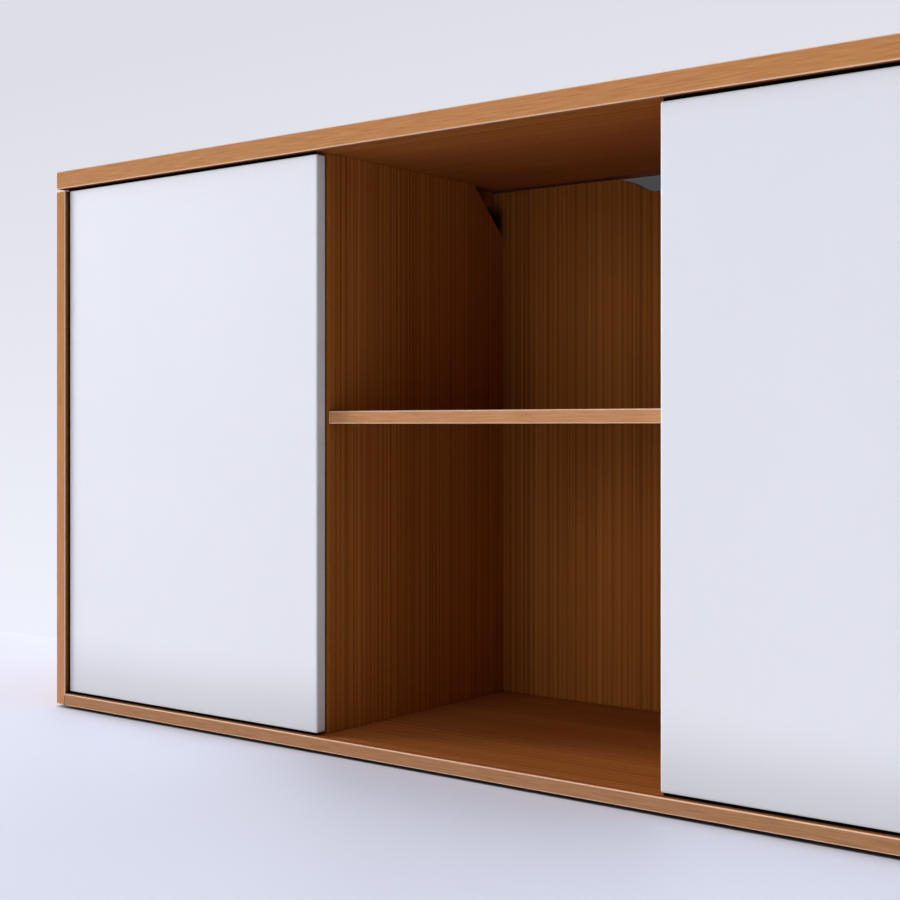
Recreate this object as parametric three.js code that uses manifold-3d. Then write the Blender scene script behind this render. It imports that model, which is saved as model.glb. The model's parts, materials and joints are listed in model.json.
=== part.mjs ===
// Office credenza: a wood carcass with an open centre bay and two white sliding doors.
// Millimetres, +Z up, +X to the right, front towards -Y.
// The origin is on the floor, under the middle of the carcass.

import * as THREE from 'three';
import { RoundedBoxGeometry } from 'three/addons/geometries/RoundedBoxGeometry.js';
import { mergeVertices } from 'three/addons/utils/BufferGeometryUtils.js';
import Module from 'manifold-3d';

const wasm = await Module();
wasm.setup();

// Carcass panels
const overallWidth = 1400;
const overallDepth = 400;
const overallHeight = 724;
const topThickness = 24;
const endThickness = 18;
const bottomThickness = 15.5;
const dividerThickness = 18;
const backThickness = 16;
const backRecess = 8; // rear edges of the end panels to the back panel
const shadowGap = 3; // under the top panel, over the end and back panels
const edgeRadius = 2; // edge band of the wood panels
const notchSize = 66; // cut-off upper rear corner of a divider
const battenDepth = 18;
const battenHeight = 21;
const spacerInset = 4; // faces of an end panel to its spacer strip
const spacerFrontInset = 40;
const spacerRearInset = 12;

// Cable scoop in the upper edge of the back panel
const scoopWidth = 152;
const scoopDepth = 21;
const scoopOffset = 22; // to the right of the middle

// Shelves and their concealed pins
const shelfThickness = 15;
const shelfRise = 363; // bottom panel to the underside of a shelf
const shelfSideGap = 1;
const shelfRearGap = 1;
const pinRadius = 2.5;
const pinInPanel = 7;
const pinInShelf = 10;
const pinFrontInset = 45;
const pinRearInset = 45;

// Doors
const doorThickness = 15;
const doorRadius = 2;
const doorRecess = 6; // front of the carcass to the front of a door
const doorSideGap = 3; // end panel to a door
const doorBottomGap = 3;
const doorTopGap = 3.5;
const doorMeetingGap = 1; // between the doors when one of them stands before the centre bay
const doorRunningGap = 3; // back of a door to the dividers and shelves
const dividerOverhang = 1.5; // a divider's open face past the free edge of a closed door

// Rollers in the lower edge of a door, and the track they run in
const wheelRadius = 9;
const wheelWidth = 5;
const wheelCrown = 0.8; // fall of the tread from its middle to its sides
const wheelSideGap = 0.5;
const wheelTopGap = 1.2;
const wheelRunningGap = 0.2; // wheel to the track's floor
const axleRadius = 1.5;
const rollerInset = 60; // side of a door to the axle
const housingEnd = 14.8; // solid stretch before and after the wheel's slot
const housingWall = 1.7;
const housingRoof = 6.5;
const trackDepth = 5;
const trackFloor = 1.5;
const trackWall = 1.3;
const trackSideGap = 0.7; // wheel to the track's walls
const trackEndGap = 0.5;
const stopLength = 12;
const stopHeight = 4;

// Spring-loaded guides in the upper edge of a door, and the channel they run in
const guideInset = 60; // side of a door to the guide pin
const guidePinRadius = 3;
const guidePinReach = 6; // into the channel
const guidePinStem = 12; // inside the sleeve
const guidePinNose = 1; // rounding of the pin's tip
const guidePinNeck = 0.7; // depth of the groove that a blade presses the pin down by
const guideTipGap = 1.8; // tip of the pin to the channel's ceiling
const sleeveWall = 1.7;
const sleeveFloor = 1.5;
const springLength = 9.5; // room for the pressed spring under a lowered pin
const channelWall = 1.2;
const channelCeiling = 1.2;

// Glides under the carcass
const glideRadius = 12;
const glideHeight = 4;
const glideChamfer = 1;
const glideSideInset = 30;
const glideFrontInset = 35;
const glideRearInset = 35;

// Clearances and facets
const fitGap = 0.3; // around a piece in its recess
const overcut = 1; // how far a cutting shape stands past the face it cuts
const arcSegments = 4;
const roundSegments = 24;
const smallRoundSegments = 16;

// Planes that the pieces share
const frontY = -overallDepth / 2;
const rearY = overallDepth / 2;
const floorZ = glideHeight + bottomThickness;
const ceilingZ = overallHeight - topThickness;
const revealZ = ceilingZ - shadowGap;
const innerX = overallWidth / 2 - endThickness;
const backFrontY = rearY - backRecess - backThickness;
const doorMiddleY = frontY + doorRecess + doorThickness / 2;
const insideFrontY = frontY + doorRecess + doorThickness + doorRunningGap;
const doorBottomZ = floorZ + doorBottomGap;
const doorHeight = ceilingZ - doorTopGap - doorBottomZ;
const doorWidth = (2 * innerX - 2 * doorSideGap - 2 * doorMeetingGap) / 3; // three fill the opening
const doorHomeX = innerX - doorSideGap - doorWidth / 2;
const openFaceX = doorHomeX - doorWidth / 2 - dividerOverhang;
const closedFaceX = openFaceX + dividerThickness;
const shelfBottomZ = floorZ + shelfRise;
const shelfRearY = backFrontY - shelfRearGap;
const pinZ = shelfBottomZ + shelfThickness / 2;
const pinRowsY = [insideFrontY + pinFrontInset, shelfRearY - pinRearInset];

// Running gear, worked out from the wheel and the guide pin
const trackFloorZ = floorZ - trackDepth + trackFloor;
const trackWidth = wheelWidth + 2 * (trackSideGap + trackWall);
const axleRise = trackFloorZ + wheelRunningGap + wheelRadius - doorBottomZ;
const housingLength = 2 * (wheelRadius + wheelTopGap + housingEnd);
const housingWidth = wheelWidth + 2 * (wheelSideGap + housingWall);
const housingHeight = axleRise + wheelRadius + wheelTopGap + housingRoof;
const guideBore = guidePinRadius + fitGap;
const guideTravel = doorTopGap + guidePinReach; // the pin goes down flush with the door
const sleeveRadius = guideBore + sleeveWall;
const sleeveLength = guidePinStem + guideTravel + springLength + sleeveFloor;
const channelWidth = 2 * (guideBore + channelWall);
const channelDepth = guidePinReach + guideTipGap + channelCeiling;

const sides = { left: -1, right: 1 };
const xAxis = new THREE.Vector3(1, 0, 0);
const yAxis = new THREE.Vector3(0, 1, 0);
const zAxis = new THREE.Vector3(0, 0, 1);

const finishes = {
  wood: { color: 0x9c6a42, roughness: 0.5, metalness: 0 },
  door: { color: 0xe2e3ea, roughness: 0.45, metalness: 0 },
  steel: { color: 0xb8babd, roughness: 0.3, metalness: 1 },
  bronze: { color: 0x7a4c2c, roughness: 0.5, metalness: 0.3 },
  nylon: { color: 0x26262a, roughness: 0.5, metalness: 0 },
  rubber: { color: 0x202022, roughness: 0.8, metalness: 0 },
};

// A closed mesh as a solid for cutting. Triangles that shrink to a line at a pole are left out.
function solid(geometry) {
  const bare = geometry.clone();
  bare.deleteAttribute('normal');
  bare.deleteAttribute('uv');
  const merged = mergeVertices(bare);
  const corners = [];
  for (let i = 0; i < merged.index.count; i += 3) {
    const [a, b, c] = merged.index.array.slice(i, i + 3);
    if (a !== b && b !== c && c !== a) corners.push(a, b, c);
  }
  const vertProperties = new Float32Array(merged.attributes.position.array);
  const triVerts = new Uint32Array(corners);
  return new wasm.Manifold(new wasm.Mesh({ numProp: 3, vertProperties, triVerts }));
}

// A shape with the tools taken away from it
function cut(stock, tools) {
  const body = tools.reduce((rest, tool) => rest.subtract(solid(tool)), solid(stock));
  const { vertProperties, triVerts } = body.getMesh();
  const geometry = new THREE.BufferGeometry();
  geometry.setAttribute('position', new THREE.BufferAttribute(vertProperties, 3));
  geometry.setIndex(new THREE.BufferAttribute(triVerts, 1));
  geometry.computeVertexNormals();
  return geometry;
}

// A closed outline of corners [across, up, radius]
function outline(corners) {
  const shape = new THREE.Shape();
  corners.forEach(([u, v, radius = 0], i) => {
    const corner = new THREE.Vector2(u, v);
    const before = new THREE.Vector2(...corners.at(i - 1));
    const after = new THREE.Vector2(...corners[(i + 1) % corners.length]);
    const start = before.sub(corner).setLength(radius).add(corner);
    const end = after.sub(corner).setLength(radius).add(corner);
    if (i === 0) shape.moveTo(start.x, start.y);
    else shape.lineTo(start.x, start.y);
    if (radius > 0) shape.quadraticCurveTo(u, v, end.x, end.y);
  });
  shape.closePath();
  return shape;
}

function extrusion(shape, length, curveSegments = arcSegments) {
  return new THREE.ExtrudeGeometry(shape, { depth: length, bevelEnabled: false, curveSegments });
}

// An outline in (y, z), carried from x0 to x1
function alongX(shape, x0, x1) {
  const turn = new THREE.Matrix4().makeBasis(yAxis, zAxis, xAxis);
  return extrusion(shape, x1 - x0).applyMatrix4(turn).translate(x0, 0, 0);
}

// An outline in (x, z), carried from y0 to y1
function alongY(shape, y0, y1) {
  const turn = new THREE.Matrix4().makeBasis(xAxis, zAxis, yAxis.clone().negate());
  return extrusion(shape, y1 - y0, roundSegments).applyMatrix4(turn).translate(0, y1, 0);
}

// An outline in (x, y), carried from z0 to z1
function alongZ(shape, z0, z1) {
  return extrusion(shape, z1 - z0).translate(0, 0, z0);
}

function box([x0, y0, z0], [x1, y1, z1]) {
  const geometry = new THREE.BoxGeometry(x1 - x0, y1 - y0, z1 - z0);
  return geometry.translate((x0 + x1) / 2, (y0 + y1) / 2, (z0 + z1) / 2);
}

// A box with every edge rounded
function roundedBox([x0, y0, z0], [x1, y1, z1], radius) {
  const geometry = new RoundedBoxGeometry(x1 - x0, y1 - y0, z1 - z0, arcSegments / 2, radius);
  return geometry.translate((x0 + x1) / 2, (y0 + y1) / 2, (z0 + z1) / 2);
}

// An edge's radius, as far as the panel's thickness allows
function edgeRounding(radius, thickness) {
  return Math.min(radius, thickness / 2 - fitGap);
}

function levelPanel([x0, y0, z0], [x1, y1, z1]) {
  const radius = edgeRounding(edgeRadius, z1 - z0);
  return alongX(outline([[y0, z0, radius], [y1, z0], [y1, z1], [y0, z1, radius]]), x0, x1);
}

function uprightPanel([x0, y0, z0], [x1, y1, z1]) {
  const radius = edgeRounding(edgeRadius, x1 - x0);
  return alongZ(outline([[x0, y0, radius], [x1, y0, radius], [x1, y1], [x0, y1]]), z0, z1);
}

// A round bar along X, Y or Z, centred on a point
function bar(axis, radius, length, [x, y, z], segments = smallRoundSegments) {
  const geometry = new THREE.CylinderGeometry(radius, radius, length, segments);
  if (axis === 'x') geometry.rotateZ(Math.PI / 2);
  if (axis === 'z') geometry.rotateX(Math.PI / 2);
  return geometry.translate(x, y, z);
}

// A profile of [radius, height] turned about a vertical axis
function turnedUpright(profile, segments) {
  const points = profile.map(([radius, height]) => new THREE.Vector2(radius, height));
  return new THREE.LatheGeometry(points, segments).rotateX(Math.PI / 2);
}

function piece(parent, name, geometry, finish) {
  const mesh = new THREE.Mesh(geometry, new THREE.MeshStandardMaterial(finish));
  mesh.name = name;
  parent.add(mesh);
  return mesh;
}

function placedGroup(parent, x, y, z) {
  const group = new THREE.Group();
  group.position.set(x, y, z);
  parent.add(group);
  return group;
}

const credenza = new THREE.Group();

// Holes for the shelf pins, in a face at x of a panel that lies on the given side of it
function pinHoles(faceX, panelSide) {
  const depth = pinInPanel + fitGap;
  const length = depth + overcut;
  const middleX = faceX + panelSide * (depth - length / 2);
  return pinRowsY.map((y) => bar('x', pinRadius + fitGap, length, [middleX, y, pinZ]));
}

function addTop() {
  const halfGroove = channelWidth / 2 + fitGap;
  const stock = roundedBox([-overallWidth / 2, frontY, ceilingZ], [overallWidth / 2, rearY, overallHeight],
    edgeRounding(edgeRadius, topThickness));
  const groove = box([-innerX, doorMiddleY - halfGroove, ceilingZ - overcut],
    [innerX, doorMiddleY + halfGroove, ceilingZ + channelDepth + fitGap]);
  piece(credenza, 'top_panel', cut(stock, [groove]), finishes.wood);
}

function addBottom() {
  const halfGroove = trackWidth / 2 + fitGap;
  const stock = levelPanel([-innerX, frontY, glideHeight], [innerX, rearY, floorZ]);
  const groove = box([-innerX - overcut, doorMiddleY - halfGroove, floorZ - trackDepth - fitGap],
    [innerX + overcut, doorMiddleY + halfGroove, floorZ + overcut]);
  piece(credenza, 'bottom_panel', cut(stock, [groove]), finishes.wood);
}

function addEnds() {
  for (const [name, side] of Object.entries(sides)) {
    const outerX = side * overallWidth / 2;
    const [x0, x1] = [outerX, side * innerX].sort((a, b) => a - b);
    const stock = roundedBox([x0, frontY, glideHeight], [x1, rearY, revealZ],
      edgeRounding(edgeRadius, endThickness));
    piece(credenza, `${name}_end_panel`, cut(stock, pinHoles(side * innerX, side)), finishes.wood);
    const strip = box([x0 + spacerInset, frontY + spacerFrontInset, revealZ],
      [x1 - spacerInset, rearY - spacerRearInset, ceilingZ]);
    piece(credenza, `${name}_gap_spacer`, strip, finishes.wood);
  }
}

function addDividers() {
  for (const [name, side] of Object.entries(sides)) {
    const [x0, x1] = [side * openFaceX, side * closedFaceX].sort((a, b) => a - b);
    const stock = uprightPanel([x0, insideFrontY, floorZ], [x1, backFrontY, ceilingZ]);
    const notchLeg = notchSize + overcut;
    const notch = alongX(outline([
      [backFrontY + overcut, ceilingZ - notchLeg],
      [backFrontY + overcut, ceilingZ + overcut],
      [backFrontY - notchLeg, ceilingZ + overcut],
    ]), x0 - overcut, x1 + overcut);
    const holes = [...pinHoles(side * openFaceX, side), ...pinHoles(side * closedFaceX, -side)];
    piece(credenza, `${name}_divider`, cut(stock, [notch, ...holes]), finishes.wood);
  }
}

function addBack() {
  const scoopEnd = scoopWidth / 2;
  const bend = scoopWidth / 4;
  const shape = new THREE.Shape();
  shape.moveTo(-innerX, floorZ);
  shape.lineTo(innerX, floorZ);
  shape.lineTo(innerX, revealZ);
  shape.lineTo(scoopOffset + scoopEnd, revealZ);
  shape.bezierCurveTo(scoopOffset + bend, revealZ, scoopOffset + bend, revealZ - scoopDepth,
    scoopOffset, revealZ - scoopDepth);
  shape.bezierCurveTo(scoopOffset - bend, revealZ - scoopDepth, scoopOffset - bend, revealZ,
    scoopOffset - scoopEnd, revealZ);
  shape.lineTo(-innerX, revealZ);
  shape.closePath();
  piece(credenza, 'back_panel', alongY(shape, backFrontY, backFrontY + backThickness), finishes.wood);
}

// Each batten crosses its closed bay and ends beside the divider's cut-off corner
function addBattens() {
  for (const [name, side] of Object.entries(sides)) {
    const [x0, x1] = [side * innerX, side * closedFaceX].sort((a, b) => a - b);
    const batten = box([x0, backFrontY - battenDepth, ceilingZ - battenHeight], [x1, backFrontY, ceilingZ]);
    piece(credenza, `${name}_rear_batten`, batten, finishes.wood);
  }
}

// A shelf between two panel faces, with a pin in each corner
function addShelf(name, faceX0, faceX1) {
  const x0 = faceX0 + shelfSideGap;
  const x1 = faceX1 - shelfSideGap;
  const holeDepth = pinInShelf + fitGap;
  const holeLength = holeDepth + overcut;
  const pinLength = pinInPanel + shelfSideGap + pinInShelf;
  const shelfTopZ = shelfBottomZ + shelfThickness;
  const stock = levelPanel([x0, insideFrontY, shelfBottomZ], [x1, shelfRearY, shelfTopZ]);
  const holes = [];
  const pins = [];
  for (const y of pinRowsY) {
    for (const [endX, inwards] of [[x0, 1], [x1, -1]]) {
      const holeX = endX + inwards * (holeDepth - holeLength / 2);
      const pinX = endX + inwards * (pinInShelf - pinLength / 2);
      holes.push(bar('x', pinRadius + fitGap, holeLength, [holeX, y, pinZ]));
      pins.push(bar('x', pinRadius, pinLength, [pinX, y, pinZ]));
    }
  }
  piece(credenza, `${name}_shelf`, cut(stock, holes), finishes.wood);
  pins.forEach((pin, i) => piece(credenza, `${name}_shelf_pin_${i + 1}`, pin, finishes.steel));
}

function addTracks() {
  const endX = innerX - trackEndGap;
  const halfTrack = trackWidth / 2;
  const halfRun = wheelWidth / 2 + trackSideGap;
  const track = outline([
    [doorMiddleY - halfTrack, floorZ - trackDepth],
    [doorMiddleY + halfTrack, floorZ - trackDepth],
    [doorMiddleY + halfTrack, floorZ],
    [doorMiddleY + halfRun, floorZ],
    [doorMiddleY + halfRun, trackFloorZ],
    [doorMiddleY - halfRun, trackFloorZ],
    [doorMiddleY - halfRun, floorZ],
    [doorMiddleY - halfTrack, floorZ],
  ]);
  piece(credenza, 'bottom_track', alongX(track, -endX, endX), finishes.bronze);

  const halfChannel = channelWidth / 2;
  const roofZ = ceilingZ + channelDepth;
  const channel = outline([
    [doorMiddleY - halfChannel, ceilingZ],
    [doorMiddleY - guideBore, ceilingZ],
    [doorMiddleY - guideBore, roofZ - channelCeiling],
    [doorMiddleY + guideBore, roofZ - channelCeiling],
    [doorMiddleY + guideBore, ceilingZ],
    [doorMiddleY + halfChannel, ceilingZ],
    [doorMiddleY + halfChannel, roofZ],
    [doorMiddleY - halfChannel, roofZ],
  ]);
  piece(credenza, 'top_channel', alongX(channel, -endX, endX), finishes.bronze);

  // A stop lies in the track, where the outer wheel of a closed door comes to rest against it
  const outerWheelX = doorHomeX + doorWidth / 2 - rollerInset;
  const chordDrop = wheelRadius - (stopHeight - wheelRunningGap);
  const chord = Math.sqrt(wheelRadius ** 2 - chordDrop ** 2);
  const stopX = outerWheelX + chord + fitGap;
  const halfStop = halfRun - fitGap;
  for (const [name, side] of Object.entries(sides)) {
    const [x0, x1] = [side * stopX, side * (stopX + stopLength)].sort((a, b) => a - b);
    const stop = box([x0, doorMiddleY - halfStop, trackFloorZ + fitGap],
      [x1, doorMiddleY + halfStop, trackFloorZ + stopHeight]);
    piece(credenza, `${name}_track_stop`, stop, finishes.rubber);
  }
}

function wheel() {
  const halfWidth = wheelWidth / 2;
  const bore = axleRadius + fitGap;
  const tread = [];
  for (let i = 0; i <= arcSegments; i += 1) {
    const y = halfWidth * (2 * i / arcSegments - 1);
    const radius = wheelRadius - wheelCrown * (y / halfWidth) ** 2;
    tread.push(new THREE.Vector2(radius, y));
  }
  const inner = [new THREE.Vector2(bore, halfWidth), new THREE.Vector2(bore, -halfWidth)];
  return new THREE.LatheGeometry([inner[1], ...tread, ...inner], roundSegments);
}

// A housing of rounded plan, let into the lower edge of a door
function housingPlan(grown) {
  const radius = housingWidth / 2 + grown;
  const straight = housingLength / 2 - housingWidth / 2;
  const shape = new THREE.Shape();
  shape.absarc(straight, 0, radius, -Math.PI / 2, Math.PI / 2);
  shape.absarc(-straight, 0, radius, Math.PI / 2, 3 * Math.PI / 2);
  shape.closePath();
  return shape;
}

function addRoller(door, name, number, x) {
  const roller = placedGroup(door, x, 0, 0);
  const slotReach = wheelRadius + wheelTopGap;
  const halfSlot = wheelWidth / 2 + wheelSideGap;
  const slot = box([-slotReach, -halfSlot, -overcut], [slotReach, halfSlot, axleRise + slotReach]);
  const axleHole = bar('y', axleRadius + fitGap / 2, housingWidth + overcut, [0, 0, axleRise]);
  const housing = cut(alongZ(housingPlan(0), 0, housingHeight), [slot, axleHole]);
  const axle = bar('y', axleRadius, housingWidth - fitGap, [0, 0, axleRise]);
  piece(roller, `${name}_roller_housing_${number}`, housing, finishes.nylon);
  piece(roller, `${name}_roller_axle_${number}`, axle, finishes.steel);
  piece(roller, `${name}_roller_wheel_${number}`, wheel(), finishes.nylon).position.z = axleRise;
}

function addGuide(door, name, number, x) {
  const guide = placedGroup(door, x, 0, doorHeight);
  const sleeve = turnedUpright([
    [0, -sleeveLength],
    [sleeveRadius, -sleeveLength],
    [sleeveRadius, 0],
    [guideBore, 0],
    [guideBore, sleeveFloor - sleeveLength],
    [0, sleeveFloor - sleeveLength],
  ], smallRoundSegments);
  const neckRadius = guidePinRadius - guidePinNeck;
  const pin = turnedUpright([
    [0, -guidePinStem],
    [guidePinRadius, -guidePinStem],
    [guidePinRadius, 0],
    [neckRadius, guidePinNeck],
    [neckRadius, doorTopGap - guidePinNeck],
    [guidePinRadius, doorTopGap],
    [guidePinRadius, guideTravel - guidePinNose],
    [guidePinRadius - guidePinNose, guideTravel],
    [0, guideTravel],
  ], smallRoundSegments);
  piece(guide, `${name}_guide_sleeve_${number}`, sleeve, finishes.nylon);
  piece(guide, `${name}_guide_pin_${number}`, pin, finishes.nylon);
}

// A door in its own frame: its origin is in the middle of its lower edge
function addDoor(name, x) {
  const door = placedGroup(credenza, x, doorMiddleY, doorBottomZ);
  const halfWidth = doorWidth / 2;
  const halfThickness = doorThickness / 2;
  const pocketHeight = housingHeight + fitGap;
  const sleeveHole = sleeveLength + fitGap + overcut;
  const rollersX = [-(halfWidth - rollerInset), halfWidth - rollerInset];
  const guidesX = [-(halfWidth - guideInset), halfWidth - guideInset];
  const stock = roundedBox([-halfWidth, -halfThickness, 0], [halfWidth, halfThickness, doorHeight],
    edgeRounding(doorRadius, doorThickness));
  const pocket = alongZ(housingPlan(fitGap), -overcut, pocketHeight);
  const pockets = rollersX.map((rollerX) => pocket.clone().translate(rollerX, 0, 0));
  const holes = guidesX.map((guideX) => {
    const middle = [guideX, 0, doorHeight + overcut - sleeveHole / 2];
    return bar('z', sleeveRadius + fitGap, sleeveHole, middle);
  });
  piece(door, name, cut(stock, [...pockets, ...holes]), finishes.door);
  rollersX.forEach((rollerX, i) => addRoller(door, name, i + 1, rollerX));
  guidesX.forEach((guideX, i) => addGuide(door, name, i + 1, guideX));
}

function addGlides() {
  const dividerX = (openFaceX + closedFaceX) / 2;
  const cornerX = innerX - glideSideInset;
  const profile = [
    [0, 0],
    [glideRadius - glideChamfer, 0],
    [glideRadius, glideChamfer],
    [glideRadius, glideHeight],
    [0, glideHeight],
  ];
  const rows = { front: frontY + glideFrontInset, rear: rearY - glideRearInset };
  for (const [row, y] of Object.entries(rows)) {
    [-cornerX, -dividerX, dividerX, cornerX].forEach((x, i) => {
      const disc = turnedUpright(profile, roundSegments);
      piece(credenza, `${row}_glide_${i + 1}`, disc, finishes.rubber).position.set(x, y, 0);
    });
  }
}

addTop();
addBottom();
addEnds();
addDividers();
addBack();
addBattens();
addShelf('left', -innerX, -closedFaceX);
addShelf('centre', -openFaceX, openFaceX);
addShelf('right', closedFaceX, innerX);
addTracks();
addDoor('left_door', -doorHomeX);
addDoor('right_door', doorHomeX);
addGlides();

export default credenza;
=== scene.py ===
# Office credenza: finishes, small fasteners, black door seals as painted shade in the door gaps, light and
# camera for the imported part.
# Metres, in the part's own frame: +X to the right, front towards -Y, +Z up, floor at Z = 0.

import json
from math import cos, pi, radians, sin, sqrt

import bmesh
import bpy
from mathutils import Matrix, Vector


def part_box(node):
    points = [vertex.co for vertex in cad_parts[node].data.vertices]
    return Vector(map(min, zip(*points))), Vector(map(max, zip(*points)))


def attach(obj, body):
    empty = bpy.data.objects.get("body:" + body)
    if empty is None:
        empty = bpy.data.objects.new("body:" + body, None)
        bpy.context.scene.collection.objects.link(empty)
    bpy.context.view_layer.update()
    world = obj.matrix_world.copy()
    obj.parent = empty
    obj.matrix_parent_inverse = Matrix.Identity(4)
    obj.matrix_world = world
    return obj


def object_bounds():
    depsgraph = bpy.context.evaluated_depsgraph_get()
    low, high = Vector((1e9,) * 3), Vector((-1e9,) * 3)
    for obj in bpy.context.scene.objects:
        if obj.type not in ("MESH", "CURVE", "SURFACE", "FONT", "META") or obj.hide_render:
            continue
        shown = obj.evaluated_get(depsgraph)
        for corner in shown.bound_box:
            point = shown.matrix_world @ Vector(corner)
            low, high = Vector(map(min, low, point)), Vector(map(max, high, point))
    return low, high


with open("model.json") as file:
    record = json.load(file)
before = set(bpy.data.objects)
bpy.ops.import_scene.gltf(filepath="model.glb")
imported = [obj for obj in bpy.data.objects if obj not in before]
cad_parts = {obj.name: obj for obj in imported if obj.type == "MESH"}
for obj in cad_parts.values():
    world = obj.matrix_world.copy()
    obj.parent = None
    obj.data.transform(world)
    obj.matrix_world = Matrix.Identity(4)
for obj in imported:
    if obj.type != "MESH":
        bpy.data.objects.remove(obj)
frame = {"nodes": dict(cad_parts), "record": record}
cad_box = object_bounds()
nodes = frame["nodes"]

# Camera, at the photograph's viewpoint
CAMERA_PLACE = (0.9473, -1.4649, 0.3799)
CAMERA_TURN = 37.609  # degrees to the left of straight ahead
CAMERA_LENS = 59.317  # millimetres
CAMERA_SENSOR = 36  # millimetres wide
CAMERA_SHIFT_UP = -0.0266

# Stage
FLOOR_HALF_SIZE = 9.0
FLOOR_ROUGHNESS = 0.55
FLOOR_PATCH = 0.9  # width of the faint patches in its colour
FLOOR_DULL = (0.845, 0.88, 0.98, 1)
FLOOR_BRIGHT = (0.865, 0.90, 0.995, 1)
FLOOR_SHADE = 0.12  # painted shadow: share of the floor's colour, in the gap under the credenza
FLOOR_SHADE_DEPTHS = (0.001, 0.006)  # where it starts and is full, inwards from the front and the rear
FLOOR_SHADE_ASIDE = (-0.008, 0.0)  # and inwards from the sides
WALL_GAP = 0.012  # behind the credenza
WALL_HEIGHT = 4.0
WALL_LOW_COLOUR = (0.87, 0.885, 0.975, 1)  # painted light: the wall's glow at the floor
WALL_HIGH_COLOUR = (0.73, 0.735, 0.795, 1)  # and one metre up
WALL_SHADE = 0.08  # painted shadow: share of the wall's glow, behind the credenza
WALL_SHADE_EDGE = 0.025
LIGHT_COLOUR = (0.975, 0.985, 1.06)
BACKDROP_COLOUR = (0.80, 0.81, 0.87, 1)  # what the camera sees past the stage
AMBIENT_STRENGTH = 0.02  # light that the backdrop gives

# Soft, far lights: name, bearing, height angle and spread in degrees, strength. Bearing 0 is in front of
# the credenza and 90 to its right. Most of the light comes low from the left, so the open bay stays dark
LIGHTS = (
    ("window", -66, 11, 22, 2.05),
    ("window_high", -60, 36, 30, 0.28),
    ("left_low", -95, 11, 20, 1.15),
    ("left_high", -92, 36, 30, 0.54),
    ("front_low", -10, 13, 24, 0.33),
    ("front_high", 10, 36, 40, 0.27),
    ("right_high", 75, 36, 30, 0.16),
    ("overhead", 0, 68, 50, 0.48),
    ("rear_left", -140, 27, 60, 0.50),
    ("rear_right", 140, 27, 60, 0.50),
)

# Wood: linear colours of the grain, each at its tone from 0 to 1
GRAIN_DARK = (0.215, 0.068, 0.0095, 1)
GRAIN_MIDDLE = (0.400, 0.143, 0.026, 1)
GRAIN_LIGHT = (0.520, 0.203, 0.045, 1)
GRAIN_STOPS = ((0.18, GRAIN_DARK), (0.50, GRAIN_MIDDLE), (0.82, GRAIN_LIGHT))
UPRIGHT_TINT = (0.99, 0.96, 0.90, 1)  # the level panels are a little redder than the upright ones
LEVEL_TINT = (0.94, 0.84, 0.98, 1)
WOOD_SHINE = 0.03
WOOD_ROUGHNESS = (0.48, 0.64)
WOOD_BUMP = (0.10, 0.0003)  # strength, and depth in metres

# Layers of the grain: the width of each in metres, and its weight in the tone
GRAIN_STRETCH = 280  # length of a grain line over its width
TONE_START = -0.02
BROAD_BAND = 0.030
BROAD_WEIGHT = 0.40
FINE_LINE = 0.0022
FINE_WEIGHT = 0.65
CLOSE_SPACING = 0.0076  # the two sets of regular lines give the wood its combed look
CLOSE_WEIGHT = 0.10
WIDE_SPACING = 0.0137
WIDE_WEIGHT = 0.05
LINE_WOBBLE = 9.0  # radians, over the full range of a noise
WOBBLE_WIDTH = 2.5  # of the spacing of the lines
PORE = 0.0012
PORE_LIMITS = (0.60, 0.72)  # of the noise, from no pore to a full one
PORE_WEIGHT = 0.22

# Edge band: short streaks, made paler by a factor for red, green and blue that changes with the height. The
# band is paler partly by its own colour and partly by painted sheen. The change with the height is painted
# light: on the level panels the band is darkest near the floor
EDGE_STREAK = 0.0016  # width of a streak
EDGE_STREAK_STRETCH = 25
EDGE_STREAK_TONES = (0.225, 0.775)  # of the grain's colours, from the darkest streak to the lightest
LEVEL_EDGE_LIFTS = (
    (0.03, (1.03, 1.39, 3.43, 1)),
    (0.39, (1.43, 1.86, 4.30, 1)),
    (0.71, (1.40, 1.72, 3.24, 1)),
)
UPRIGHT_EDGE_LIFTS = (
    (0.05, (1.35, 1.70, 4.45, 1)),
    (0.36, (1.38, 1.70, 3.15, 1)),
    (0.70, (1.36, 1.63, 2.64, 1)),
)
UPRIGHT_BAND_FROM = -0.188  # the edge band shows in front of these planes: of the uprights, only
LEVEL_BAND_FROM = -0.165  # the end panels have it, and the dividers' edges stay plain behind the doors
BAND_BLEND = 0.008
FRONT_LIMITS = (-0.80, -0.98)  # of a normal's Y part, from no front face to a full one

# Painted highlight along the rounded front arrises of the edge band
ARRIS_HIGHLIGHT_COLOUR = (1.0, 0.70, 0.50, 1)
ARRIS_HIGHLIGHT_SHARE = 0.95
ARRIS_REACH = 0.0023  # into the faces beside it
ARRIS_SAMPLES = 6
ARRIS_TURN_LIMITS = (0.03, 0.14)  # how far the softened normal leaves the nearest axis
ARRIS_FACING_LIMITS = (0.10, 0.30)  # how far it looks to the front
GROOVE_MARGIN = 0.001  # no painted arris highlight this near to the doors' path
FLUSH_LIMITS = (0.0030, 0.0036)  # nor this near to the flush joint between the bottom panel and an end panel
FLUSH_TOP_LIMITS = (-0.0030, -0.0015)  # up to this height, from the bottom panel's upper face

# Painted shade on the wood. Limits are of the share of the surroundings that is open, from no shade to full
# shade
JOINT_REACH = 0.004  # from a joint between two pieces
JOINT_LIMITS = (0.85, 0.45)
JOINT_SHADE = 0.60
LIP_REACH = 0.020  # from a door's face, on the lips over it and beside it
LIP_LIMITS = (0.80, 0.55)
LIP_SHADE = 0.22
UPWARD_LIMITS = (0.5, 0.1)  # of a normal's Z part, from a face that looks up to one that doesn't
SLICE = 0.001  # unit of the thin slices that pick out the lips and the front of the back panel
NEAR_SAMPLES = 4  # rays that look for near surfaces
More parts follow.
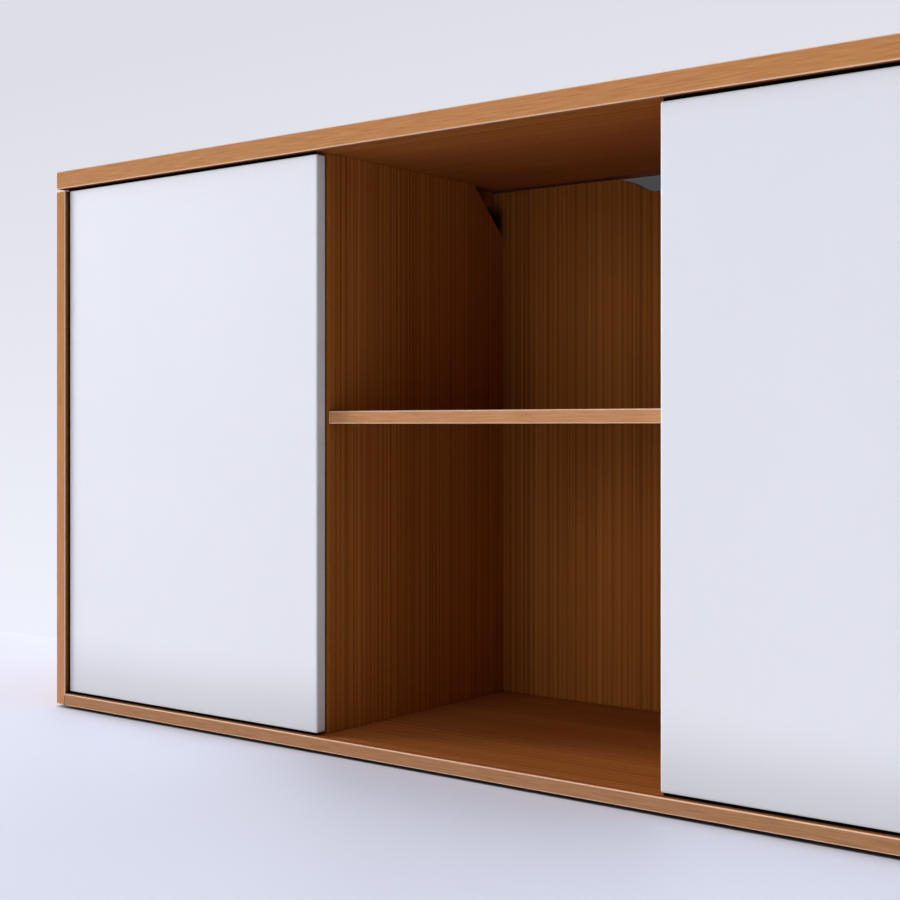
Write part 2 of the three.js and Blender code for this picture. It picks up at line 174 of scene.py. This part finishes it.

# Painted shade on the back panel, behind the cut-off rear corner of each divider
CORNER_CUT = 0.066  # height of the cut
CORNER_SHADE = 0.12
CORNER_BLEND = 0.018
CORNER_BEYOND = 0.020  # how far the shade runs on into the closed bay

# Doors: painted shade under the top and over the floor. The edges and the rear are a cooler white
DOOR_DULL = (0.832, 0.828, 0.822, 1)
DOOR_BRIGHT = (0.852, 0.846, 0.838, 1)
DOOR_CLOUD = 0.22  # width of the faint patches in their colour
DOOR_SPECK = 0.0016  # width of the pearl texture
DOOR_SHINE = 0.3
DOOR_ROUGHNESS = (0.46, 0.56)
DOOR_BUMP = (0.06, 0.0002)
DOOR_EDGE_TINT = (1.0, 1.05, 1.05, 1)
DOOR_SHADE_REACH = 0.11
DOOR_SHADE_LIMITS = (1.0, 0.74)
DOOR_SHADE = 0.81
DOOR_SHADE_SAMPLES = 8

# Metal and mouldings
METAL_LINE = 0.0004  # width of the drawn lines
METAL_SMOOTHER = 0.08  # how far the roughness goes below its given value, and above it
METAL_ROUGHER = 0.12
MOTTLE = 0.012
MOULDED_BUMP = (0.15, 0.0002)

# Screws that hold the back panel: a low domed head with a cross recess
SCREW_RADIUS = 0.0040
SCREW_HEIGHT = 0.0018
SCREW_SKIRT = 0.0006  # straight side of the head
SCREW_ROOT = 0.0004  # how far the head's underside lies inside the panel
RECESS_DEPTH = 0.0013
RECESS_HALF_WIDTH = 0.00055
RECESS_REACH = 0.0024
SCREW_RINGS = (0.12, 0.20, 0.28, 0.42, 0.56, 0.64, 0.78, 0.90, 1.0)  # of the radius, in the head's mesh
SCREW_SIDES = 48
DIVIDER_SCREW_HEIGHTS = (0.09, 0.33, 0.57)
BATTEN_SCREW_SPACING = 0.15
BATTEN_SCREWS = 3

# Dust seal: a strip of black pile round the lower, outer and upper edge of each door, a dark piece as painted
# shade in the door gaps
SEAL_SETBACK = 0.0008  # front of the door to the seal
SEAL_WIDTH = 0.0020
SEAL_TIP_WIDTH = 0.0010
SEAL_BACKING = 0.0005  # height of the strip that holds the pile
SEAL_ROOT = 0.0012  # how far the strip lies inside the door
SEAL_CLEARANCE = 0.0004  # tip of the pile to the carcass
SEAL_END_INSET = 0.0030  # from the door's free edge


def add(tree, kind, inputs=None, **settings):
    """A new node. An input takes a plain value or another node's output socket."""
    node = tree.nodes.new(kind)
    for name, value in settings.items():
        setattr(node, name, value)
    for key, value in (inputs or {}).items():
        if isinstance(value, bpy.types.NodeSocket):
            tree.links.new(value, node.inputs[key])
        else:
            node.inputs[key].default_value = value
    return node


def math_node(tree, operation, a, b=0.0):
    return add(tree, "ShaderNodeMath", {0: a, 1: b}, operation=operation).outputs[0]


def difference(tree, a, b):
    return math_node(tree, "SUBTRACT", a, b)


def distance(tree, a, b):
    return math_node(tree, "ABSOLUTE", difference(tree, a, b))


def new_material(name, **constants):
    """A material with a Principled shader. Keyword names are its inputs, with _ for a space."""
    material = bpy.data.materials.new(name)
    material.use_nodes = True
    tree = material.node_tree
    shader = tree.nodes["Principled BSDF"]
    for key, value in constants.items():
        shader.inputs[key.replace("_", " ")].default_value = value
    return material, tree, shader


def place(tree):
    return add(tree, "ShaderNodeTexCoord").outputs["Object"]


def place_parts(tree):
    return add(tree, "ShaderNodeSeparateXYZ", {0: place(tree)}).outputs


def normal_parts(tree, normal):
    """The X, Y and Z parts of a normal, in the object's own frame."""
    local = add(tree, "ShaderNodeVectorTransform", {"Vector": normal},
                vector_type="NORMAL", convert_from="WORLD", convert_to="OBJECT").outputs[0]
    return add(tree, "ShaderNodeSeparateXYZ", {0: local}).outputs


def true_normal(tree):
    return normal_parts(tree, add(tree, "ShaderNodeNewGeometry").outputs["True Normal"])


def grain_noise(tree, axis, width, detail=2.0, stretch=GRAIN_STRETCH):
    """Noise in lines along an axis, of the given width in metres."""
    scale = [1 / width] * 3
    scale["XYZ".index(axis)] /= stretch
    vector = add(tree, "ShaderNodeVectorMath", {0: place(tree), 1: scale}, operation="MULTIPLY").outputs[0]
    return add(tree, "ShaderNodeTexNoise", {"Vector": vector, "Scale": 1.0, "Detail": detail}).outputs["Fac"]


def regular_lines(tree, axis, spacing):
    """Lines along an axis at a nearly regular spacing, from -1 to 1."""
    spot = place_parts(tree)
    first, second = (spot[name] for name in "XYZ" if name != axis)
    turns = math_node(tree, "MULTIPLY", math_node(tree, "ADD", first, second), 2 * pi / spacing)
    wander = grain_noise(tree, axis, WOBBLE_WIDTH * spacing, detail=1.0)
    wobble = math_node(tree, "MULTIPLY", wander, LINE_WOBBLE)
    return math_node(tree, "SINE", math_node(tree, "ADD", turns, wobble))


def plain_noise(tree, width, detail=2.0):
    return add(tree, "ShaderNodeTexNoise",
               {"Vector": place(tree), "Scale": 1 / width, "Detail": detail}).outputs["Fac"]


def ramp(tree, fac, stops):
    """A colour ramp with stops of (position, colour)."""
    node = add(tree, "ShaderNodeValToRGB", {"Fac": fac})
    elements = node.color_ramp.elements
    while len(elements) < len(stops):
        elements.new(0.5)
    for element, (position, colour) in zip(elements, stops):
        element.position = position
        element.color = colour
    return node.outputs["Color"]


def mix(tree, fac, a, b, blend="MIX"):
    node = add(tree, "ShaderNodeMix", data_type="RGBA", blend_type=blend)
    for key, value in (("Factor_Float", fac), ("A_Color", a), ("B_Color", b)):
        socket = next(s for s in node.inputs if s.identifier == key)
        if isinstance(value, bpy.types.NodeSocket):
            tree.links.new(value, socket)
        else:
            socket.default_value = value
    return next(s for s in node.outputs if s.identifier == "Result_Color")


def tinted(tree, colour, tint):
    return mix(tree, 1.0, colour, tint, "MULTIPLY")


def shaded(tree, colour, mask, share):
    """A colour that falls to a share of itself where the mask is 1."""
    return mix(tree, mask, colour, tinted(tree, colour, (share, share, share, 1)))


def scaled(tree, value, low, high):
    """A value from 0 to 1, brought between two others."""
    return add(tree, "ShaderNodeMapRange", {"Value": value, "To Min": low, "To Max": high}).outputs["Result"]


def smooth_step(tree, value, start, end):
    """0 at the start and 1 at the end, which may be the lower of the two."""
    return add(tree, "ShaderNodeMapRange", {"Value": value, "From Min": start, "From Max": end},
               interpolation_type="SMOOTHSTEP").outputs["Result"]


def product(tree, *masks):
    result = masks[0]
    for mask in masks[1:]:
        result = math_node(tree, "MULTIPLY", result, mask)
    return result


def nearness(tree, reach, limits, samples=NEAR_SAMPLES):
    """1 where surfaces within the reach close much of the surroundings off, 0 in the open."""
    open_share = add(tree, "ShaderNodeAmbientOcclusion", {"Distance": reach}, samples=samples).outputs["AO"]
    return smooth_step(tree, open_share, *limits)


def front_facing(tree):
    return smooth_step(tree, true_normal(tree)["Y"], *FRONT_LIMITS)


def link_roughness(tree, shader, value, low, high):
    tree.links.new(scaled(tree, value, low, high), shader.inputs["Roughness"])


def link_bump(tree, shader, height, strength, depth):
    bump = add(tree, "ShaderNodeBump", {"Height": height, "Strength": strength, "Distance": depth})
    tree.links.new(bump.outputs["Normal"], shader.inputs["Normal"])


def clear_of_doors(tree):
    """0 in the doors' path, 1 in front of it and behind it."""
    low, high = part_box("left_door")
    half = (high.y - low.y) / 2 + GROOVE_MARGIN
    from_middle = distance(tree, place_parts(tree)["Y"], (low.y + high.y) / 2)
    return smooth_step(tree, from_middle, half, half + GROOVE_MARGIN)


def clear_of_flush_joint(tree):
    """0 along the flush joint between the bottom panel and each end panel, 1 beside it and over it."""
    x, _, z = place_parts(tree)
    joint_x = min(abs(corner.x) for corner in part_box("left_end_panel"))
    joint_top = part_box("bottom_panel")[1].z
    beside = smooth_step(tree, distance(tree, math_node(tree, "ABSOLUTE", x), joint_x), *FLUSH_LIMITS)
    over = smooth_step(tree, difference(tree, z, joint_top), *FLUSH_TOP_LIMITS)
    return math_node(tree, "MAXIMUM", beside, over)


def arris_nearness(tree):
    """1 at an edge between a front face and a face beside it."""
    softened = add(tree, "ShaderNodeBevel", {"Radius": ARRIS_REACH}, samples=ARRIS_SAMPLES).outputs["Normal"]
    x, y, z = (math_node(tree, "ABSOLUTE", part) for part in normal_parts(tree, softened))
    largest = math_node(tree, "MAXIMUM", math_node(tree, "MAXIMUM", x, y), z)
    turned = smooth_step(tree, difference(tree, 1.0, largest), *ARRIS_TURN_LIMITS)
    facing = smooth_step(tree, y, *ARRIS_FACING_LIMITS)
    return product(tree, turned, facing, clear_of_doors(tree), clear_of_flush_joint(tree))


def door_lip(tree):
    """1 on the lips over and beside a door, between the carcass's front and the door's face."""
    carcass_front = cad_box[0].y
    door_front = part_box("left_door")[0].y
    depth = place_parts(tree)["Y"]
    return product(
        tree,
        nearness(tree, LIP_REACH, LIP_LIMITS),
        smooth_step(tree, depth, door_front + 3 * SLICE, door_front + SLICE),
        smooth_step(tree, depth, carcass_front + SLICE, carcass_front + 2 * SLICE),
        smooth_step(tree, true_normal(tree)["Z"], *UPWARD_LIMITS))


def corner_depth(tree):
    """1 on the front of the back panel, behind the dividers' cut-off corners."""
    low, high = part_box("right_divider")
    x, y, z = place_parts(tree)
    aside = math_node(tree, "ABSOLUTE", x)
    beyond = high.x + CORNER_BEYOND
    foot = high.z - CORNER_CUT
    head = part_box("right_rear_batten")[0].z
    return product(
        tree,
        smooth_step(tree, aside, low.x - CORNER_BLEND / 2, low.x + CORNER_BLEND / 2),
        smooth_step(tree, aside, beyond + CORNER_BLEND, beyond),
        smooth_step(tree, z, foot - CORNER_BLEND, foot + CORNER_BLEND),
        smooth_step(tree, z, head + CORNER_BLEND, head - CORNER_BLEND),
        smooth_step(tree, y, high.y - 2 * SLICE, high.y - SLICE),
        smooth_step(tree, y, high.y + 4 * SLICE, high.y + 2 * SLICE))


def wood(name, axis, band_from, tint, edge_lifts):
    """Straight-grained veneer, with its grain along an axis and a paler edge band in front of a plane,
    painted sheen and highlights on the band, and painted shade.
    """
    material, tree, shader = new_material(name, Specular_IOR_Level=WOOD_SHINE)
    spot = place_parts(tree)
    fine = grain_noise(tree, axis, FINE_LINE, detail=1.5)
    layers = (
        (grain_noise(tree, axis, BROAD_BAND), BROAD_WEIGHT),
        (regular_lines(tree, axis, CLOSE_SPACING), CLOSE_WEIGHT),
        (regular_lines(tree, axis, WIDE_SPACING), WIDE_WEIGHT),
        (fine, FINE_WEIGHT),
    )
    tone = TONE_START
    for layer, weight in layers:
        tone = math_node(tree, "ADD", math_node(tree, "MULTIPLY", layer, weight), tone)
    pores = smooth_step(tree, grain_noise(tree, axis, PORE, detail=1.0), *PORE_LIMITS)
    pore_share = math_node(tree, "MULTIPLY", pores, PORE_WEIGHT)
    face = tinted(tree, mix(tree, pore_share, ramp(tree, tone, GRAIN_STOPS), GRAIN_DARK), tint)

    streaks = grain_noise(tree, axis, EDGE_STREAK, stretch=EDGE_STREAK_STRETCH)
    streak_tone = scaled(tree, streaks, *EDGE_STREAK_TONES)
    edge = tinted(tree, ramp(tree, streak_tone, GRAIN_STOPS), ramp(tree, spot["Z"], edge_lifts))
    banded = smooth_step(tree, spot["Y"], band_from + BAND_BLEND, band_from)
    colour = mix(tree, product(tree, front_facing(tree), banded), face, edge)
    # painted highlight on the front arrises
    arris_highlight = math_node(tree, "MULTIPLY", product(tree, arris_nearness(tree), banded), ARRIS_HIGHLIGHT_SHARE)
    colour = mix(tree, arris_highlight, colour, ARRIS_HIGHLIGHT_COLOUR)

    # painted shade: at joints, behind the dividers' cut-off corners, and on the lips over and beside the
    # doors
    colour = shaded(tree, colour, nearness(tree, JOINT_REACH, JOINT_LIMITS), JOINT_SHADE)
    colour = shaded(tree, colour, corner_depth(tree), CORNER_SHADE)
    colour = shaded(tree, colour, door_lip(tree), LIP_SHADE)
    tree.links.new(colour, shader.inputs["Base Color"])
    link_roughness(tree, shader, fine, *WOOD_ROUGHNESS)
    link_bump(tree, shader, fine, *WOOD_BUMP)
    return material


def door_white():
    """Satin white laminate with a fine pearl texture."""
    material, tree, shader = new_material("door_white", Specular_IOR_Level=DOOR_SHINE)
    speck = plain_noise(tree, DOOR_SPECK, detail=1.0)
    colour = ramp(tree, plain_noise(tree, DOOR_CLOUD), ((0.25, DOOR_DULL), (0.75, DOOR_BRIGHT)))
    # painted shade where the top and the floor are near
    sheltered = nearness(tree, DOOR_SHADE_REACH, DOOR_SHADE_LIMITS, DOOR_SHADE_SAMPLES)
    front = shaded(tree, colour, sheltered, DOOR_SHADE)
    edge = tinted(tree, colour, DOOR_EDGE_TINT)
    tree.links.new(mix(tree, front_facing(tree), edge, front), shader.inputs["Base Color"])
    link_roughness(tree, shader, speck, *DOOR_ROUGHNESS)
    link_bump(tree, shader, speck, *DOOR_BUMP)
    return material


def brushed_metal(name, dark, light, roughness, axis):
    """Metal drawn along an axis, with fine lines in its colour and its gloss."""
    material, tree, shader = new_material(name, Metallic=1.0)
    lines = grain_noise(tree, axis, METAL_LINE)
    tree.links.new(ramp(tree, lines, ((0.3, dark), (0.7, light))), shader.inputs["Base Color"])
    link_roughness(tree, shader, lines, roughness - METAL_SMOOTHER, roughness + METAL_ROUGHER)
    return material


def moulded(name, dark, light, roughness, grain, shine=0.5):
    """Moulded plastic, rubber or pile, with a slight mottle and a fine surface grain."""
    material, tree, shader = new_material(name, Roughness=roughness, Specular_IOR_Level=shine)
    colour = ramp(tree, plain_noise(tree, MOTTLE), ((0.3, dark), (0.7, light)))
    tree.links.new(colour, shader.inputs["Base Color"])
    link_bump(tree, shader, plain_noise(tree, grain, detail=1.0), *MOULDED_BUMP)
    return material


materials = {
    "wood_level": wood("wood_level", "X", LEVEL_BAND_FROM, LEVEL_TINT, LEVEL_EDGE_LIFTS),
    "wood_upright": wood("wood_upright", "Z", UPRIGHT_BAND_FROM, UPRIGHT_TINT, UPRIGHT_EDGE_LIFTS),
    "door_white": door_white(),
    "steel": brushed_metal(
        "steel", dark=(0.50, 0.50, 0.51, 1), light=(0.66, 0.66, 0.66, 1), roughness=0.30, axis="X"),
    "bronze_track": moulded(
        "bronze_track", dark=(0.34, 0.108, 0.024, 1), light=(0.40, 0.128, 0.030, 1),
        roughness=0.60, grain=0.0005, shine=0.12),
    "nylon": moulded(
        "nylon", dark=(0.016, 0.016, 0.017, 1), light=(0.026, 0.026, 0.028, 1),
        roughness=0.50, grain=0.0006),
    "rubber": moulded(
        "rubber", dark=(0.012, 0.012, 0.013, 1), light=(0.024, 0.024, 0.025, 1),
        roughness=0.75, grain=0.0008),
    # near-black pile for the door seals, so the door gaps read as dark shade
    "pile": moulded(
        "pile", dark=(0.0012, 0.0012, 0.0012, 1), light=(0.0030, 0.0028, 0.0028, 1),
        roughness=0.95, grain=0.0004, shine=0.01),
}


def dress_nodes():
    """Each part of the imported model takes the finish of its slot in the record."""
    for part in frame["record"]["subparts"]:
        mesh = nodes[part["node"]].data
        mesh.materials.clear()
        mesh.materials.append(materials[part["material_slot"]])


def finish_piece(name, form, body, finish):
    """Turns a mesh form into a piece that rides on a body."""
    mesh = bpy.data.meshes.new(name)
    form.to_mesh(mesh)
    form.free()
    mesh.materials.append(materials[finish])
    piece = bpy.data.objects.new(name, mesh)
    bpy.context.scene.collection.objects.link(piece)
    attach(piece, body)


def join_loops(form, loops):
    """Faces between loops of vertices that follow each other, and a face over the first and the last loop."""
    for before, after in zip(loops, loops[1:]):
        for step in range(len(before)):
            following = (step + 1) % len(before)
            form.faces.new((before[step], before[following], after[following], after[step]))
    form.faces.new(loops[0])
    form.faces.new(loops[-1])
    bmesh.ops.recalc_face_normals(form, faces=form.faces)


def screw_head(name, foot):
    """A screw head on a face that looks to the rear, with its foot at the given place."""
    form = bmesh.new()
    rings = []
    for fraction in SCREW_RINGS:
        ring = []
        dome = SCREW_SKIRT + (SCREW_HEIGHT - SCREW_SKIRT) * sqrt(1 - fraction ** 2)
        for step in range(SCREW_SIDES):
            angle = 2 * pi * step / SCREW_SIDES
            across = SCREW_RADIUS * fraction * cos(angle)
            up = SCREW_RADIUS * fraction * sin(angle)
            narrow, reach = sorted((abs(across), abs(up)))
            in_recess = narrow < RECESS_HALF_WIDTH and reach < RECESS_REACH
            rise = dome - RECESS_DEPTH if in_recess else dome
            ring.append(form.verts.new((across, rise, up)))
        rings.append(ring)
    rings.append([form.verts.new((vert.co.x, -SCREW_ROOT, vert.co.z)) for vert in rings[-1]])
    join_loops(form, rings)
    bmesh.ops.translate(form, vec=foot, verts=form.verts)
    finish_piece(name, form, "carcass", "steel")


def add_back_screws():
    """Screws through the back panel into the dividers and the rear battens."""
    rear_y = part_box("back_panel")[1].y
    for side in ("left", "right"):
        low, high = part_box(f"{side}_divider")
        for number, height in enumerate(DIVIDER_SCREW_HEIGHTS, 1):
            screw_head(f"{side}_divider_screw_{number}", ((low.x + high.x) / 2, rear_y, height))
        low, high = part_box(f"{side}_rear_batten")
        middle = (low + high) / 2
        for number in range(BATTEN_SCREWS):
            aside = (number - (BATTEN_SCREWS - 1) / 2) * BATTEN_SCREW_SPACING
            screw_head(f"{side}_batten_screw_{number + 1}", (middle.x + aside, rear_y, middle.z))


def door_shade_seal(side, outwards):
    """A black pile strip that fills the gap along three edges of a door, as painted shade in the gap.
    Outwards is -1 for left, 1 for right.
    """
    low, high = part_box(f"{side}_door")
    carcass_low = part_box("bottom_panel")[1].z
    carcass_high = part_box("top_panel")[0].z
    carcass_outer = min(abs(corner.x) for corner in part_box(f"{side}_end_panel"))
    door_outer = max(abs(low.x), abs(high.x))
    free_x = min(abs(low.x), abs(high.x)) + SEAL_END_INSET

    half = SEAL_WIDTH / 2
    half_tip = SEAL_TIP_WIDTH / 2
    middle_y = low.y + SEAL_SETBACK + half
    profile = ((-half, "root"), (half, "root"), (half, "backing"), (half_tip, "backing"),
               (half_tip, "tip"), (-half_tip, "tip"), (-half_tip, "backing"), (-half, "backing"))
    foot = {
        "root": low.z + SEAL_ROOT,
        "backing": low.z - SEAL_BACKING,
        "tip": carcass_low + SEAL_CLEARANCE,
    }
    head = {
        "root": high.z - SEAL_ROOT,
        "backing": high.z + SEAL_BACKING,
        "tip": carcass_high - SEAL_CLEARANCE,
    }
    flank = {
        "root": door_outer - SEAL_ROOT,
        "backing": door_outer + SEAL_BACKING,
        "tip": carcass_outer - SEAL_CLEARANCE,
    }
    free_end = dict.fromkeys(flank, free_x)

    form = bmesh.new()
    sections = []
    for across, level in ((free_end, foot), (flank, foot), (flank, head), (free_end, head)):
        section = []
        for aside, reach in profile:
            section.append(form.verts.new((outwards * across[reach], middle_y + aside, level[reach])))
        sections.append(section)
    join_loops(form, sections)
    finish_piece(f"{side}_door_shade_seal", form, f"{side}_sliding_door", "pile")


def plane(name, corners, material):
    mesh = bpy.data.meshes.new(name)
    mesh.from_pydata(corners, [], [tuple(range(len(corners)))])
    mesh.materials.append(material)
    sheet = bpy.data.objects.new(name, mesh)
    bpy.context.scene.collection.objects.link(sheet)
    return sheet


def floor_finish():
    """A pale floor with a painted shadow in the gap under the credenza."""
    material, tree, shader = new_material("floor", Roughness=FLOOR_ROUGHNESS)
    tint = ramp(tree, plain_noise(tree, FLOOR_PATCH), ((0.3, FLOOR_DULL), (0.7, FLOOR_BRIGHT)))
    spot = place_parts(tree)
    x, y = (math_node(tree, "ABSOLUTE", spot[axis]) for axis in "XY")
    under = product(
        tree,
        smooth_step(tree, difference(tree, cad_box[1].x, x), *FLOOR_SHADE_ASIDE),
        smooth_step(tree, difference(tree, cad_box[1].y, y), *FLOOR_SHADE_DEPTHS))
    tree.links.new(shaded(tree, tint, under, FLOOR_SHADE), shader.inputs["Base Color"])
    return material


def wall_finish():
    """A glowing wall whose glow is painted light, paler near the floor and dimmed by a painted shadow behind
    the credenza. It shows only from its front, so the back can be seen.
    """
    material, tree, shader = new_material("wall")
    tree.nodes.remove(shader)
    spot = place_parts(tree)
    tint = ramp(tree, spot["Z"], ((0.0, WALL_LOW_COLOUR), (1.0, WALL_HIGH_COLOUR)))
    beside = difference(tree, math_node(tree, "ABSOLUTE", spot["X"]), cad_box[1].x)
    above = difference(tree, spot["Z"], cad_box[1].z)
    outside = math_node(tree, "MAXIMUM", beside, above)
    clear_of_part = smooth_step(tree, outside, -WALL_SHADE_EDGE, WALL_SHADE_EDGE)
    strength = scaled(tree, clear_of_part, WALL_SHADE, 1.0)
    glow = add(tree, "ShaderNodeEmission", {"Color": tint, "Strength": strength}).outputs[0]
    behind = add(tree, "ShaderNodeNewGeometry").outputs["Backfacing"]
    clear = add(tree, "ShaderNodeBsdfTransparent").outputs[0]
    one_way = add(tree, "ShaderNodeMixShader", {0: behind, 1: glow, 2: clear})
    tree.links.new(one_way.outputs[0], tree.nodes["Material Output"].inputs["Surface"])
    return material


def add_stage():
    half = FLOOR_HALF_SIZE
    floor_corners = [(-half, -half, 0), (half, -half, 0), (half, half, 0), (-half, half, 0)]
    floor = plane("floor", floor_corners, floor_finish())

    wall_y = cad_box[1].y + WALL_GAP
    wall_corners = [(-half, wall_y, 0), (half, wall_y, 0),
                    (half, wall_y, WALL_HEIGHT), (-half, wall_y, WALL_HEIGHT)]
    wall = plane("wall", wall_corners, wall_finish())
    wall.visible_shadow = False  # so the lights behind it reach the back


def add_soft_light(name, bearing, height_angle, spread, strength):
    turn = radians(bearing)
    lift = radians(height_angle)
    towards_light = Vector((sin(turn) * cos(lift), -cos(turn) * cos(lift), sin(lift)))
    light = bpy.data.lights.new(name, "SUN")
    light.angle = radians(spread)
    light.energy = strength
    light.color = LIGHT_COLOUR
    lamp = bpy.data.objects.new(name, light)
    lamp.rotation_euler = towards_light.to_track_quat("Z", "Y").to_euler()
    bpy.context.scene.collection.objects.link(lamp)


def add_backdrop():
    """A plain world that the camera sees past the stage, and that gives little light."""
    world = bpy.data.worlds.new("studio")
    world.use_nodes = True
    tree = world.node_tree
    background = tree.nodes["Background"]
    background.inputs["Color"].default_value = BACKDROP_COLOUR
    seen = add(tree, "ShaderNodeLightPath").outputs["Is Camera Ray"]
    tree.links.new(scaled(tree, seen, AMBIENT_STRENGTH, 1.0), background.inputs["Strength"])
    bpy.context.scene.world = world


def add_camera():
    camera = bpy.data.objects.new("camera", bpy.data.cameras.new("camera"))
    camera.location = CAMERA_PLACE
    camera.rotation_euler = (radians(90), 0, radians(CAMERA_TURN))
    camera.data.lens = CAMERA_LENS
    camera.data.sensor_width = CAMERA_SENSOR
    camera.data.shift_y = CAMERA_SHIFT_UP
    bpy.context.scene.collection.objects.link(camera)
    bpy.context.scene.camera = camera


dress_nodes()
add_back_screws()
door_shade_seal("left", -1)
door_shade_seal("right", 1)
add_stage()
for light in LIGHTS:
    add_soft_light(*light)
add_backdrop()
add_camera()
bpy.context.scene.view_settings.view_transform = "Standard"
